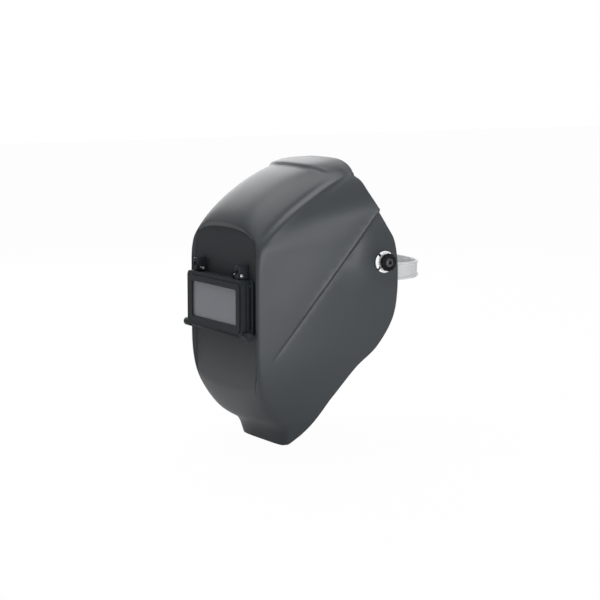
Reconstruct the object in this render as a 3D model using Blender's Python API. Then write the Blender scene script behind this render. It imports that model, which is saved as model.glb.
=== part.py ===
"""Welding helmet: tilting shell, lift-front lens holder, pin-lock headgear."""
import math

import bmesh
import bpy
import numpy as np
from mathutils import Matrix, Vector

MM = 0.001

# Fits and walls, in millimetres
GAP = 0.3
RUN = 0.08
WALL = 2.8
ROUND_STEPS = 20

# Pivot on the side of the head, which is also the frame's origin
PIVOT_X = 104.0
PIVOT_FLAT_R = 27.0
PIVOT_BLEND_R = 46.0
PIVOT_HOLE_R = 7.3
STUD_R = 3.0
STUD_HEAD_R = 6.5
STUD_HEAD_H = 2.8
STUD_BITE = 3.6
BUSH_R = 12.2
BUSH_FLANGE_H = 1.8
BUSH_SLIT = 2.8
KNOB_R = 9.8
KNOB_LOBE = 0.3
KNOB_LOBES = 12
KNOB_HUB_H = 3.6
KNOB_BODY_H = 5.0
KNOB_BOSS_H = 1.3
KNOB_BOSS_R = 4.2
SEAL_R = 11.8
SEAL_H = 0.8
WASHER_R = 12.0
WASHER_H = 1.6

# Lens plates and their holder
PLATE_W = 108.0
PLATE_H = 51.0
COVER_T = 1.2
GASKET_T = 0.6
FILTER_T = 3.0
CLIP_T = 1.2
SAFETY_T = 1.6
WIN_W = 100.0
WIN_H = 40.5
WIN_ROUND = 3.0
PLATE_ROUND = 1.2
POCKET_ROUND = 1.5
WIN_Z = -47.0
PANEL_Y = -143.0
FIXED_RIM = 11.0
FIXED_W = PLATE_W + 2 * FIXED_RIM
FIXED_H = 61.5
FIXED_D = 4.2
FIXED_ROUND = 4.0
LIFT_W = 124.0
LIFT_H = 62.5
LIFT_ROUND = 6.0
LIFT_LIP = 1.8
CLIP_SET = 2.1
EAR_R = 4.6
EAR_L = 14.0
EAR_SET = 5.5
EAR_UP = 1.5
RIVET_SET = 5.6
RIVET_R = 1.6
RIVET_HEAD_R = 2.8
RIVET_HEAD_H = 1.6

# Front panel round the holder, and the shell's corner beside it
PANEL_MARGIN = 5.0
PANEL_SINK = 4.5
FRONT_Y = PANEL_Y - PANEL_SINK
PANEL_X = FIXED_W / 2 + PANEL_MARGIN
PANEL_EDGE = 2.5
CORNER_SET = 3.5
CORNER_X = PANEL_X + PANEL_EDGE + CORNER_SET

# Shell stations from the chin lip up to the crown's rear edge:
# front y z, corner x y z, rear edge x y z, rounding on front and side, bulge
STATIONS = (
    (-96, -209.5, 46, -95, -209.5, 57, -79.5, -198.5, 20, 6, 0),
    (-105, -191.5, 55, -101, -189.5, 67, -66.5, -177, 22, 12, 1),
    (-128, -175, 67, -121, -172, 78.5, -49.5, -151, 20, 16, 2),
    (FRONT_Y + 4.5, -144, 73.5, FRONT_Y + 8.5, -143, 89.5, -26.5, -119, 14, 12, 4),
    (FRONT_Y, -110, CORNER_X, FRONT_Y + 2, -110, 97.5, -3, -95, 8, 9, 5),
    (FRONT_Y, -60, CORNER_X, FRONT_Y + 1, -60, 102, 16, -60, 7, 8, 6),
    (FRONT_Y, -15, CORNER_X, FRONT_Y + 1, -20, PIVOT_X, 19.5, -15, 7, 8, 6),
    (FRONT_Y, 20, CORNER_X, FRONT_Y + 2, 8, PIVOT_X, 15.5, 20, 9, 9, 6),
    (FRONT_Y + 3, 46.5, CORNER_X, FRONT_Y + 8, 23.5, 103.5, 4.5, 40, 20, 10, 6),
    (-120.5, 71, CORNER_X, -113.5, 49, 102.5, -8.5, 60, 22, 11, 5),
    (-83.5, 94, CORNER_X, -75.5, 74.5, 95, -17, 78, 22, 10, 3),
    (-45, 107, 74.5, -39, 95, 86, -19.5, 89, 22, 8, 1),
    (-13, 109, 66, -17, 100, 74, -21, 95.5, 20, 5, 0),
)
ARCH = 0.6
CENTRE_FULL = 0.45
PANEL_TOP = 7.66
PANEL_TOP_EDGE = 7.86
CROWN_STEP = 3.2
CROWN_V = 10.56
CROWN_BACK = 0.14
CROWN_EDGE = 0.12
CROWN_SOFT = 0.8
CREASE_TOP = (-5.0, 59.0)
CREASE_LOW = (-129.0, -103.0)
CREASE_RISE = 5.0
CREASE_EDGE = 4.5
CREASE_FADE = 60.0
V_ROWS = (0, 0.6, 1, 1.5, 2, 2.5, 3, 3.5, 4, 4.5, 5, 5.4, 5.7, 6, 6.25, 6.5, 6.75, 7, 7.35,
          PANEL_TOP, PANEL_TOP_EDGE, 8.2, 8.7, 9.3, 10, CROWN_V, CROWN_V + CROWN_EDGE, 11.5, 12)

# Lift hinge
HINGE_X = 47.5
HINGE_SET = 4.8
HINGE_Z = -11.5
LUG_W = 9.0
LUG_R = 3.9
LUG_TOP = 11.3
KNUCKLE_W = 4.0
EYE_R = 3.6
PIN_R = 1.5
PIN_HEAD_R = 2.4
SPRING_R = 3.3
SPRING_WIRE_R = 0.5
SPRING_TURNS = 3.5
SPRING_L = 5.6

# Headgear
BAND_X = 77.0
BAND_T = 2.0
BAND_H = 18.0
BAND_Z = -16.0
BROW_Y = -4.0
BROW_DEPTH = 90.0
BROW_END_Y = 40.0
NAPE_START_Y = 17.5
NAPE_Y = 46.0
NAPE_DEPTH = 48.0
PEG_Y = 24.0
STRAP_W = 18.0
STRAP_APEX = 92.0
STRAP_SPRING_Z = 0.0
SWEAT_T = 6.0
SWEAT_H = 26.0
ARM_W = 22.0
ARM_T = 2.4
PEG_R = 4.0
PEG_H = 2.6
PEG_PIN_R = 1.6

# Lengths that follow from the sizes above
SEAL_X = PIVOT_X + GAP
BUSH_X = SEAL_X + SEAL_H + GAP
BUSH_TOP = BUSH_X + BUSH_FLANGE_H
KNOB_X = BUSH_TOP + 0.4
STUD_END = KNOB_X + KNOB_HUB_H + STUD_BITE
SHELL_IN = PIVOT_X - WALL
WASHER_X = SHELL_IN - GAP - WASHER_H
ARM_X = WASHER_X - GAP - ARM_T
FIXED_BACK = PANEL_Y - GAP
FIXED_FRONT = FIXED_BACK - FIXED_D
LIFT_BACK = FIXED_FRONT - 0.4
CLIP_Y = LIFT_BACK - CLIP_SET - CLIP_T
FILTER_Y = CLIP_Y - GAP - FILTER_T
GASKET_Y = FILTER_Y - GAP - GASKET_T
COVER_Y = GASKET_Y - GAP - COVER_T
POCKET_Y = COVER_Y - GAP
LIFT_FRONT = POCKET_Y - LIFT_LIP
PANEL_BACK = PANEL_Y + WALL
RIVET_Z = BAND_Z - 5.5
HINGE_Y = LIFT_BACK - HINGE_SET
RIVET_X = PLATE_W / 2 + RIVET_SET
SPRING_IN = HINGE_X - LUG_W / 2 - 1.9 - SPRING_L
PIN_IN = SPRING_IN - 1.5
KNUCKLE_FOOT = WIN_Z + LIFT_H / 2 - 3

for old in list(bpy.data.objects):
    bpy.data.objects.remove(old, do_unlink=True)


def material(name, colour, rough, metal=0.0, alpha=1.0):
    mat = bpy.data.materials.new(name)
    mat.use_nodes = True
    shader = mat.node_tree.nodes["Principled BSDF"]
    shader.inputs["Base Color"].default_value = (*colour, 1.0)
    shader.inputs["Roughness"].default_value = rough
    shader.inputs["Metallic"].default_value = metal
    shader.inputs["Alpha"].default_value = alpha
    mat.diffuse_color = (*colour, alpha)
    return mat


SHELL_GREY = material("shell_grey", (0.060, 0.068, 0.075), 0.42)
HOLDER_BLACK = material("holder_black", (0.022, 0.025, 0.028), 0.45)
KNOB_BLACK = material("knob_black", (0.012, 0.012, 0.013), 0.35)
WHITE = material("white_nylon", (0.82, 0.84, 0.84), 0.35)
BAND = material("band_plastic", (0.62, 0.64, 0.64), 0.25)
FOAM = material("sweat_foam", (0.10, 0.10, 0.11), 0.9)
STEEL = material("bright_steel", (0.72, 0.72, 0.72), 0.25, 1.0)
SPRING_STEEL = material("spring_steel", (0.10, 0.10, 0.11), 0.35, 1.0)
CLEAR = material("clear_plate", (0.75, 0.78, 0.80), 0.05, 0.0, 0.35)
FILTER = material("filter_glass", (0.03, 0.05, 0.04), 0.05, 0.0, 0.6)
RUBBER = material("gasket_rubber", (0.02, 0.02, 0.02), 0.8)


def add_object(name, data, mat, smooth=False):
    obj = bpy.data.objects.new(name, data)
    bpy.context.scene.collection.objects.link(obj)
    data.materials.append(mat)
    if smooth and obj.type == "MESH":
        for face in data.polygons:
            face.use_smooth = True
    return obj


def finish(name, bm, mat, smooth=False):
    bmesh.ops.recalc_face_normals(bm, faces=bm.faces)
    bmesh.ops.scale(bm, vec=(MM, MM, MM), verts=bm.verts)
    mesh = bpy.data.meshes.new(name)
    bm.to_mesh(mesh)
    bm.free()
    return add_object(name, mesh, mat, smooth)


def cut(obj, helper, operation="DIFFERENCE"):
    helper.hide_render = True
    helper.display_type = "WIRE"
    mod = obj.modifiers.new(operation.lower(), "BOOLEAN")
    mod.operation = operation
    mod.solver = "EXACT"
    mod.object = helper


def box(name, low, high, mat, bevel=0.0):
    bm = bmesh.new()
    bmesh.ops.create_cube(bm, size=1.0)
    size = [b - a for a, b in zip(low, high)]
    mid = [(a + b) / 2 for a, b in zip(low, high)]
    bmesh.ops.scale(bm, vec=size, verts=bm.verts)
    bmesh.ops.translate(bm, vec=mid, verts=bm.verts)
    obj = finish(name, bm, mat)
    if bevel:
        mod = obj.modifiers.new("soft_edges", "BEVEL")
        mod.width = bevel * MM
        mod.segments = 2
    return obj


def plate(name, width, height, radius, y0, y1, mat, steps=4):
    """A flat plate round the window's centre, with rounded corners."""
    ring = rounded(width, height, radius, steps)
    return loft(name, [[(x, y, z + WIN_Z) for x, z in ring] for y in (y0, y1)], mat)


def rounded(width, height, radius, steps=4):
    out = []
    for quarter in range(4):
        sx = (1, -1, -1, 1)[quarter]
        sz = (1, 1, -1, -1)[quarter]
        for i in range(steps + 1):
            a = math.radians(90 * (quarter + i / steps))
            x = sx * (width / 2 - radius) + radius * math.cos(a)
            z = sz * (height / 2 - radius) + radius * math.sin(a)
            out.append((x, z))
    return out


def loft(name, rings, mat, smooth=False, loop=False):
    """A closed solid through rings of equal count, capped unless it loops."""
    bm = bmesh.new()
    rows = [[bm.verts.new(p) for p in ring] for ring in rings]
    count = len(rows[0])
    pairs = list(zip(rows, rows[1:]))
    if loop:
        pairs.append((rows[-1], rows[0]))
    for low, high in pairs:
        for i in range(count):
            j = (i + 1) % count
            bm.faces.new((low[i], low[j], high[j], high[i]))
    if not loop:
        bm.faces.new(rows[0])
        bm.faces.new(rows[-1])
    return finish(name, bm, mat, smooth)


def slab(name, outline, mid, width, mat):
    """A side outline of (y, z) points, given a width across X."""
    return loft(name, [[(x, y, z) for y, z in outline] for x in (mid - width / 2, mid + width / 2)], mat)


def turned(name, profile, axis, centre, mat, steps=ROUND_STEPS, tube=False):
    """Spin (radius, height) pairs about a line parallel to X or Y."""
    rings = []
    for i in range(steps):
        a = 2 * math.pi * i / steps
        ring = []
        for radius, height in profile:
            c, s = radius * math.cos(a), radius * math.sin(a)
            if axis == "X":
                ring.append((height, centre[0] + c, centre[1] + s))
            else:
                ring.append((centre[0] + c, height, centre[1] + s))
        rings.append(ring)
    bm = bmesh.new()
    rows = [[bm.verts.new(p) for p in ring] for ring in rings]
    last = len(profile) if tube else len(profile) - 1
    for k in range(steps):
        a, b = rows[k], rows[(k + 1) % steps]
        for i in range(last):
            j = (i + 1) % len(profile)
            bm.faces.new((a[i], a[j], b[j], b[i]))
    bmesh.ops.remove_doubles(bm, verts=bm.verts, dist=0.0005)
    bmesh.ops.dissolve_degenerate(bm, edges=bm.edges, dist=0.0005)
    return finish(name, bm, mat)


def rod(name, radius, h0, h1, axis, centre, mat, steps=ROUND_STEPS):
    return turned(name, [(0, h0), (radius, h0), (radius, h1), (0, h1)], axis, centre, mat, steps)


def smoothstep(t):
    t = min(1.0, max(0.0, t))
    return t * t * (3 - 2 * t)


def station_net():
    net = []
    for fy, fz, kx, ky, kz, ex, ey, ez, rf, rs, bulge in STATIONS:
        corner = np.array((kx, ky, kz), float)
        edge = np.array((ex, ey, ez), float)
        side = edge - corner
        length = np.linalg.norm(side)
        t = (kx - rf) / kx
        drop = ARCH * t * t
        net.append((
            np.array((0.0, fy, fz)),
            np.array((kx * CENTRE_FULL, fy, fz)),
            np.array((kx - rf, fy + (ky - fy) * drop, fz + (kz - fz) * drop)),
            corner,
            corner + side * (rs / length) + np.array((bulge * rs / length, 0, 0)),
            corner + side * 0.5 + np.array((bulge, 0, 0)),
            edge,
        ))
    return np.array(net)


def along(net, v):
    """Smooth curve through the stations, at station number v."""
    i = min(int(v), len(net) - 2)
    t = v - i
    p1, p2 = net[i], net[i + 1]
    p0 = net[i - 1] if i else 2 * p1 - p2
    p3 = net[i + 2] if i + 2 < len(net) else 2 * p2 - p1
    return 0.5 * (2 * p1 + (p2 - p0) * t + (2 * p0 - 5 * p1 + 4 * p2 - p3) * t * t
                  + (3 * p1 - p0 - 3 * p2 + p3) * t ** 3)


def across(row, u):
    """Cubic B-spline from the centre line to the rear edge."""
    knots = (0, 0, 0, 0, 0.25, 0.5, 0.75, 1, 1, 1, 1)
    u = min(u, 1 - 1e-9)
    k = max(i for i in range(3, 7) if knots[i] <= u)
    d = [row[j] for j in range(k - 3, k + 1)]
    for r in range(1, 4):
        for j in range(3, r - 1, -1):
            i = j + k - 3
            a = (u - knots[i]) / (knots[i + 4 - r] - knots[i])
            d[j] = (1 - a) * d[j - 1] + a * d[j]
    return d[3]


def solve_u(net, x):
    low, high = 0.0, 0.7
    for _ in range(40):
        mid = (low + high) / 2
        if across(along(net, 5.0), mid)[0] < x:
            low = mid
        else:
            high = mid
    return low


def crease_offsets(y, z):
    dy, dz = CREASE_LOW[0] - CREASE_TOP[0], CREASE_LOW[1] - CREASE_TOP[1]
    length = math.hypot(dy, dz)
    py, pz = y - CREASE_TOP[0], z - CREASE_TOP[1]
    t = (py * dy + pz * dz) / length ** 2
    s = (py * -dz + pz * dy) / length
    return t, s


def side_shape(p):
    """Raised upper side panel above the crease and the flat seat at the pivot."""
    x, y, z = p
    t, s = crease_offsets(y, z)
    rise = CREASE_RISE * min(1.0, max(0.0, 1.0 - t))
    lift = rise * (1 - smoothstep(s / CREASE_EDGE + 0.5)) * (1 - smoothstep(-s / CREASE_FADE))
    out = smoothstep((x - CORNER_X + 4.0) / 10.0)
    x += lift * out
    r = math.hypot(y, z)
    k = 1 - smoothstep((r - PIVOT_FLAT_R) / (PIVOT_BLEND_R - PIVOT_FLAT_R))
    if x > CORNER_X + 4.0:
        x = x * (1 - k) + PIVOT_X * k
    return (x, y, z)


def crown_shape(u, v):
    """How far the rows run back beside the crown step, and how much of the step has risen."""
    near = smoothstep(v - 9.6) * (1 - smoothstep((v - 10.8) / 1.2))
    back = CROWN_BACK * smoothstep((u - 0.05) / 0.25) * near
    edge = CROWN_EDGE + CROWN_SOFT * smoothstep((u - 0.28) / 0.25)
    return back, (1 - smoothstep((u - 0.3) / 0.4)) * smoothstep((v - CROWN_V) / edge)


def shell():
    net = station_net()
    ua = solve_u(net, PANEL_X)
    ub = solve_u(net, PANEL_X + PANEL_EDGE)
    cols = [ua * i / 3 for i in range(4)] + [ub]
    cols += [ub + (1 - ub) * i / 14 for i in range(1, 15)]
    bm = bmesh.new()
    grid = []
    for v in V_ROWS:
        row = []
        for u in cols:
            back, rise = crown_shape(u, v)
            x, y, z = across(along(net, v + back), u)
            if u < (ua + ub) / 2 and v <= PANEL_TOP:
                y = max(y, PANEL_Y)
            y, z = y - 0.3 * CROWN_STEP * rise, z + 0.95 * CROWN_STEP * rise
            row.append((x, y, z))
        grid.append(row)
    verts = []
    for row in grid:
        mirrored = [(-x, y, z) for x, y, z in reversed(row[1:])]
        verts.append([bm.verts.new(p) for p in mirrored + row])
    for low, high in zip(verts, verts[1:]):
        for i in range(len(low) - 1):
            bm.faces.new((low[i], low[i + 1], high[i + 1], high[i]))
    dy, dz = CREASE_LOW[0] - CREASE_TOP[0], CREASE_LOW[1] - CREASE_TOP[1]
    normal = Vector((0, -dz, dy)).normalized()
    for shift in (-0.5, 0.0, 0.5):
        faces = [f for f in bm.faces if abs(f.calc_center_median().x) > CORNER_X - 8
                 and f.calc_center_median().y > PANEL_Y + 7]
        geom = set(faces)
        for f in faces:
            geom.update(f.edges)
            geom.update(f.verts)
        point = Vector((0, *CREASE_TOP)) + normal * (CREASE_EDGE * shift)
        bmesh.ops.bisect_plane(bm, geom=list(geom), dist=0.02, plane_co=point, plane_no=normal)
    for vert in bm.verts:
        sign = -1 if vert.co.x < 0 else 1
        x, y, z = side_shape((abs(vert.co.x), vert.co.y, vert.co.z))
        vert.co = (sign * x, y, z)
    bm.normal_update()
    if sum(f.normal.y for f in bm.faces if f.calc_center_median().y < -137) > 0:
        bmesh.ops.reverse_faces(bm, faces=bm.faces)
    bmesh.ops.scale(bm, vec=(MM, MM, MM), verts=bm.verts)
    mesh = bpy.data.meshes.new("shell")
    bm.to_mesh(mesh)
    bm.free()
    obj = add_object("shell", mesh, SHELL_GREY, True)
    mod = obj.modifiers.new("wall", "SOLIDIFY")
    mod.thickness = WALL * MM
    mod.offset = -1.0
    return obj


# Shell with its window, pivot holes and rivet holes
SHELL = shell()
cut(SHELL, plate("cut_window", WIN_W + 4, WIN_H + 4, WIN_ROUND + 1, PANEL_Y - 20, PANEL_Y + 20, SHELL_GREY))
for side, sx in (("left", 1), ("right", -1)):
    hole = rod("cut_pivot_" + side, PIVOT_HOLE_R, sx * (PIVOT_X - 20), sx * (PIVOT_X + 20),
               "X", (0, 0), SHELL_GREY)
    cut(SHELL, hole)

RIVETS = {}
for row, sz in (("top", 1), ("low", -1)):
    for side, sx in (("left", 1), ("right", -1)):
        RIVETS[row + "_" + side] = (sx * RIVET_X, WIN_Z + sz * (FIXED_H / 2 - RIVET_SET))
BRACKET_RIVET_Z = HINGE_Z + LUG_TOP - 4.5

# Fixed lens frame on the front panel
fixed_frame = plate("fixed_frame", FIXED_W, FIXED_H, FIXED_ROUND, FIXED_FRONT, FIXED_BACK, HOLDER_BLACK)
cut(fixed_frame, plate("cut_fixed_window", WIN_W, WIN_H, WIN_ROUND, FIXED_FRONT - 9, FIXED_BACK + 9,
                       HOLDER_BLACK))
cut(fixed_frame, plate("cut_fixed_pocket", PLATE_W + 2 * GAP, PLATE_H + 2 * GAP, POCKET_ROUND,
                       FIXED_FRONT - 9, FIXED_FRONT + 3.0 + GAP, HOLDER_BLACK))
plate("safety_plate", PLATE_W, PLATE_H, PLATE_ROUND, FIXED_FRONT + 3.0 - SAFETY_T, FIXED_FRONT + 3.0, CLEAR)
for key, (x, z) in RIVETS.items():
    front = FIXED_FRONT + 0.2
    seat = front + RIVET_HEAD_H
    tail = PANEL_BACK + GAP
    turned("frame_rivet_" + key, [(0, front), (RIVET_HEAD_R, front), (RIVET_HEAD_R, seat), (RIVET_R, seat),
                                  (RIVET_R, tail), (RIVET_HEAD_R, tail), (RIVET_HEAD_R, tail + RIVET_HEAD_H),
                                  (0, tail + RIVET_HEAD_H)], "Y", (x, z), STEEL, 12)
    hole = turned("cut_rivet_" + key, [(0, front - 9), (RIVET_HEAD_R + GAP, front - 9),
                                       (RIVET_HEAD_R + GAP, seat + GAP), (RIVET_R + GAP, seat + GAP),
                                       (RIVET_R + GAP, tail + 9), (0, tail + 9)], "Y", (x, z), STEEL, 12)
    cut(fixed_frame, hole)
    cut(SHELL, hole)

# Lift frame with its knuckles and thumb ears
lift_frame = plate("lift_frame", LIFT_W, LIFT_H, LIFT_ROUND, LIFT_FRONT, LIFT_BACK, HOLDER_BLACK)
cut(lift_frame, plate("cut_lift_window", WIN_W, WIN_H, WIN_ROUND, LIFT_FRONT - 9, LIFT_BACK + 9,
                      HOLDER_BLACK))
cut(lift_frame, plate("cut_lift_pocket", PLATE_W + 2 * GAP, PLATE_H + 2 * GAP, POCKET_ROUND, POCKET_Y,
                      LIFT_BACK + 9, HOLDER_BLACK))
for side, sx in (("left", 1), ("right", -1)):
    outline = [(HINGE_Y + EYE_R * math.cos(t), HINGE_Z + EYE_R * math.sin(t))
               for t in (math.pi * i / 10 for i in range(11))]
    outline += [(HINGE_Y - EYE_R, KNUCKLE_FOOT), (HINGE_Y + EYE_R, KNUCKLE_FOOT)]
    knuckle = slab("join_knuckle_" + side, outline, sx * HINGE_X, KNUCKLE_W, HOLDER_BLACK)
    ear = rod("join_ear_" + side, EAR_R, sx * (LIFT_W / 2 - 3), sx * (LIFT_W / 2 - 3 + EAR_L), "X",
              (LIFT_FRONT + EAR_SET, WIN_Z - LIFT_H / 2 + EAR_UP), HOLDER_BLACK)
    cut(lift_frame, knuckle, "UNION")
    cut(lift_frame, ear, "UNION")
for side, sx in (("left", 1), ("right", -1)):
    bore = rod("cut_eye_" + side, PIN_R + RUN, sx * HINGE_X - 6, sx * HINGE_X + 6, "X", (HINGE_Y, HINGE_Z),
               HOLDER_BLACK)
    cut(lift_frame, bore)

# Plates, gasket and retainer stacked behind the lift frame's lip
plate("cover_plate", PLATE_W, PLATE_H, PLATE_ROUND, COVER_Y, COVER_Y + COVER_T, CLEAR)
plate("filter_plate", PLATE_W, PLATE_H, PLATE_ROUND, FILTER_Y, FILTER_Y + FILTER_T, FILTER)


def ring_plate(name, y0, y1, mat):
    outer = rounded(PLATE_W, PLATE_H, PLATE_ROUND)
    inner = rounded(WIN_W + 1, WIN_H + 1, PLATE_ROUND)
    rings = [[(x, y, z + WIN_Z) for x, z in ring]
             for ring, y in ((outer, y0), (outer, y1), (inner, y1), (inner, y0))]
    return loft(name, rings, mat, loop=True)


ring_plate("lens_gasket", GASKET_Y, GASKET_Y + GASKET_T, RUBBER)
ring_plate("plate_retainer", CLIP_Y, CLIP_Y + CLIP_T, SPRING_STEEL)

# Hinge brackets, pins, springs and bracket rivets
for side, sx in (("left", 1), ("right", -1)):
    mid = sx * HINGE_X
    outline = [(PANEL_Y - GAP, HINGE_Z + LUG_TOP), (PANEL_Y - GAP, HINGE_Z - LUG_R)]
    outline += [(HINGE_Y - LUG_R * math.sin(t), HINGE_Z - LUG_R * math.cos(t))
                for t in (math.pi * i / 16 for i in range(9))]
    outline += [(HINGE_Y - LUG_R, HINGE_Z + 2), (HINGE_Y - LUG_R + 1, HINGE_Z + LUG_TOP - 3.3),
                (HINGE_Y - LUG_R + 3, HINGE_Z + LUG_TOP - 1), (HINGE_Y + 1.5, HINGE_Z + LUG_TOP)]
    bracket = slab("hinge_bracket_" + side, outline, mid, LUG_W, HOLDER_BLACK)
    slot = box("cut_slot_" + side, (mid - KNUCKLE_W / 2 - GAP, HINGE_Y - 30, HINGE_Z - 30),
               (mid + KNUCKLE_W / 2 + GAP, HINGE_Y + 4.1, HINGE_Z + 6), HOLDER_BLACK)
    bore = rod("cut_lug_" + side, PIN_R + RUN, mid - 20, mid + 20, "X", (HINGE_Y, HINGE_Z), HOLDER_BLACK)
    cut(bracket, slot)
    cut(bracket, bore)
    outer = sx * (HINGE_X + LUG_W / 2 + GAP)
    turned("hinge_pin_" + side, [(0, sx * PIN_IN), (PIN_R, sx * PIN_IN), (PIN_R, outer), (PIN_HEAD_R, outer),
                                 (PIN_HEAD_R, outer + sx * 1.2), (0, outer + sx * 1.2)],
           "X", (HINGE_Y, HINGE_Z), STEEL)
    front = HINGE_Y + 4.1 + 0.2
    seat = front + 1.2
    tail = PANEL_BACK + GAP
    turned("bracket_rivet_" + side,
           [(0, front), (1.9, front), (1.9, seat), (1.2, seat), (1.2, tail), (RIVET_HEAD_R, tail),
            (RIVET_HEAD_R, tail + RIVET_HEAD_H), (0, tail + RIVET_HEAD_H)],
           "Y", (mid, BRACKET_RIVET_Z - 5.0), STEEL, 12)
    hole = turned("cut_bracket_rivet_" + side,
                  [(0, front - 3), (1.9 + GAP, front - 3), (1.9 + GAP, seat + GAP), (1.2 + GAP, seat + GAP),
                   (1.2 + GAP, tail + 9), (0, tail + 9)],
                  "Y", (mid, BRACKET_RIVET_Z - 5.0), STEEL, 12)
    cut(bracket, hole)
    cut(SHELL, hole)


def spring_path(sx):
    pts = [(sx * SPRING_IN, PANEL_Y - 1.2, HINGE_Z + 9.0)]
    pts.append((sx * SPRING_IN, HINGE_Y + SPRING_R, HINGE_Z + 5.0))
    count = int(SPRING_TURNS * 10)
    for i in range(count + 1):
        a = -2 * math.pi * i / 10
        x = sx * (SPRING_IN + SPRING_L * i / count)
        pts.append((x, HINGE_Y + SPRING_R * math.cos(a), HINGE_Z + SPRING_R * math.sin(a)))
    pts.append((sx * (SPRING_IN + SPRING_L), HINGE_Y - SPRING_R, WIN_Z + LIFT_H / 2 + SPRING_WIRE_R + GAP))
    return pts


def wire(name, pts, radius, mat):
    data = bpy.data.curves.new(name, "CURVE")
    data.dimensions = "3D"
    data.bevel_depth = radius * MM
    data.bevel_resolution = 1
    data.use_fill_caps = True
    line = data.splines.new("POLY")
    line.points.add(len(pts) - 1)
    for point, co in zip(line.points, pts):
        point.co = (*[c * MM for c in co], 1.0)
    return add_object(name, data, mat)


for side, sx in (("left", 1), ("right", -1)):
    path = spring_path(sx)
    wire("torsion_spring_" + side, path, SPRING_WIRE_R, SPRING_STEEL)
    least = min(math.dist(path[i], path[j]) for i in range(len(path)) for j in range(i + 6, len(path)))
    print("spring self gap mm", round(least - 2 * SPRING_WIRE_R, 2))

# Pivot stack on each side: stud, arm, washer, bush and knob
for side, sx in (("left", 1), ("right", -1)):
    head = sx * (ARM_X - GAP)
    turned("pivot_stud_" + side,
           [(0, head - sx * STUD_HEAD_H), (STUD_HEAD_R, head - sx * STUD_HEAD_H), (STUD_HEAD_R, head),
            (STUD_R, head), (STUD_R, sx * STUD_END), (0, sx * STUD_END)], "X", (0, 0), STEEL)
    turned("pivot_washer_" + side,
           [(STUD_R + GAP, sx * WASHER_X), (WASHER_R, sx * WASHER_X), (WASHER_R, sx * (WASHER_X + WASHER_H)),
            (STUD_R + GAP, sx * (WASHER_X + WASHER_H))], "X", (0, 0), RUBBER, 32, True)
    turned("pivot_seal_" + side,
           [(PIVOT_HOLE_R, sx * SEAL_X), (SEAL_R, sx * SEAL_X), (SEAL_R, sx * (SEAL_X + SEAL_H)),
            (PIVOT_HOLE_R, sx * (SEAL_X + SEAL_H))], "X", (0, 0), RUBBER, 32, True)
    bush = turned("pivot_bush_" + side,
                  [(STUD_R + GAP, sx * SHELL_IN), (PIVOT_HOLE_R - GAP, sx * SHELL_IN),
                   (PIVOT_HOLE_R - GAP, sx * BUSH_X), (BUSH_R - 0.6, sx * BUSH_X),
                   (BUSH_R, sx * (BUSH_X + 0.6)),
                   (BUSH_R, sx * (BUSH_TOP - 0.5)), (BUSH_R - 0.5, sx * BUSH_TOP),
                   (STUD_R + GAP, sx * BUSH_TOP)], "X", (0, 0), WHITE, 32, True)
    for k in range(4):
        a = math.radians(42 + 90 * k)
        slit = box("cut_slit_" + side + str(k), (-6, 7.8, -BUSH_SLIT / 2), (6, 20, BUSH_SLIT / 2), WHITE)
        slit.data.transform(Matrix.Translation((sx * BUSH_X * MM, 0, 0)) @ Matrix.Rotation(a, 4, "X"))
        cut(bush, slit)
    rings = []
    hub = sx * (KNOB_X + KNOB_HUB_H)
    body = hub + sx * KNOB_BODY_H
    for x, k, lobe in ((sx * KNOB_X, 0.70, 0), (hub, 0.72, 0), (hub + sx * 0.3, 0.94, 1),
                       (hub + sx * 1.2, 1, 1),
                       (body - sx * 1.2, 1, 1), (body, 0.92, 1), (body, 0.62, 0), (body - sx * 1.0, 0.56, 0),
                       (body - sx * 1.0, KNOB_BOSS_R / KNOB_R, 0),
                       (body + sx * KNOB_BOSS_H - sx, KNOB_BOSS_R / KNOB_R, 0),
                       (body + sx * KNOB_BOSS_H, 0.8 * KNOB_BOSS_R / KNOB_R, 0)):
        ring = []
        for i in range(KNOB_LOBES * 4):
            a = 2 * math.pi * i / (KNOB_LOBES * 4)
            r = k * (KNOB_R + lobe * KNOB_LOBE * math.cos(KNOB_LOBES * a))
            ring.append((x, -r * math.cos(a), r * math.sin(a)))
        rings.append(ring)
    knob = loft("tension_knob_" + side, rings, KNOB_BLACK)
    bore = rod("cut_knob_" + side, STUD_R + RUN, sx * (KNOB_X - 5), sx * (STUD_END + 0.6), "X", (0, 0),
               KNOB_BLACK)
    cut(knob, bore)

    # Bent arm from the band up to the pivot
    arm_in = BAND_X + GAP
    top = BAND_Z
    outline = [(arm_in, BAND_Z - BAND_H / 2), (arm_in + ARM_T, BAND_Z - BAND_H / 2),
               (arm_in + ARM_T, top - ARM_T),
               (ARM_X + ARM_T, top + 4 - ARM_T), (ARM_X + ARM_T, 9), (ARM_X + ARM_T, 11.5), (ARM_X, 11.5),
               (ARM_X, 9), (ARM_X, top + 4), (arm_in, top)]
    rings = []
    for y in (-ARM_W / 2, ARM_W / 2):
        rings.append([(sx * x, y * (0.75 if z > 10 else 1), z) for x, z in outline])
    arm = loft("pivot_arm_" + side, rings, BAND)
    cut(arm, rod("cut_arm_" + side, STUD_R + GAP, sx * (ARM_X - 5), sx * (ARM_X + 9), "X", (0, 0), BAND))
    hole = rod("cut_band_rivet_" + side, 2.0 + GAP, sx * (BAND_X - 16), sx * (BAND_X + 16), "X",
               (0, RIVET_Z), BAND)
    cut(arm, hole)


def strip(path, width_axis, low, high, thick):
    """Rectangles along a path of (point, outward direction) pairs."""
    rings = []
    for point, out in path:
        ring = []
        for o, w in ((0, low), (thick, low), (thick, high), (0, high)):
            p = Vector(point) + Vector(out) * o
            p[width_axis] += w
            ring.append(tuple(p))
        rings.append(ring)
    return rings


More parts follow.
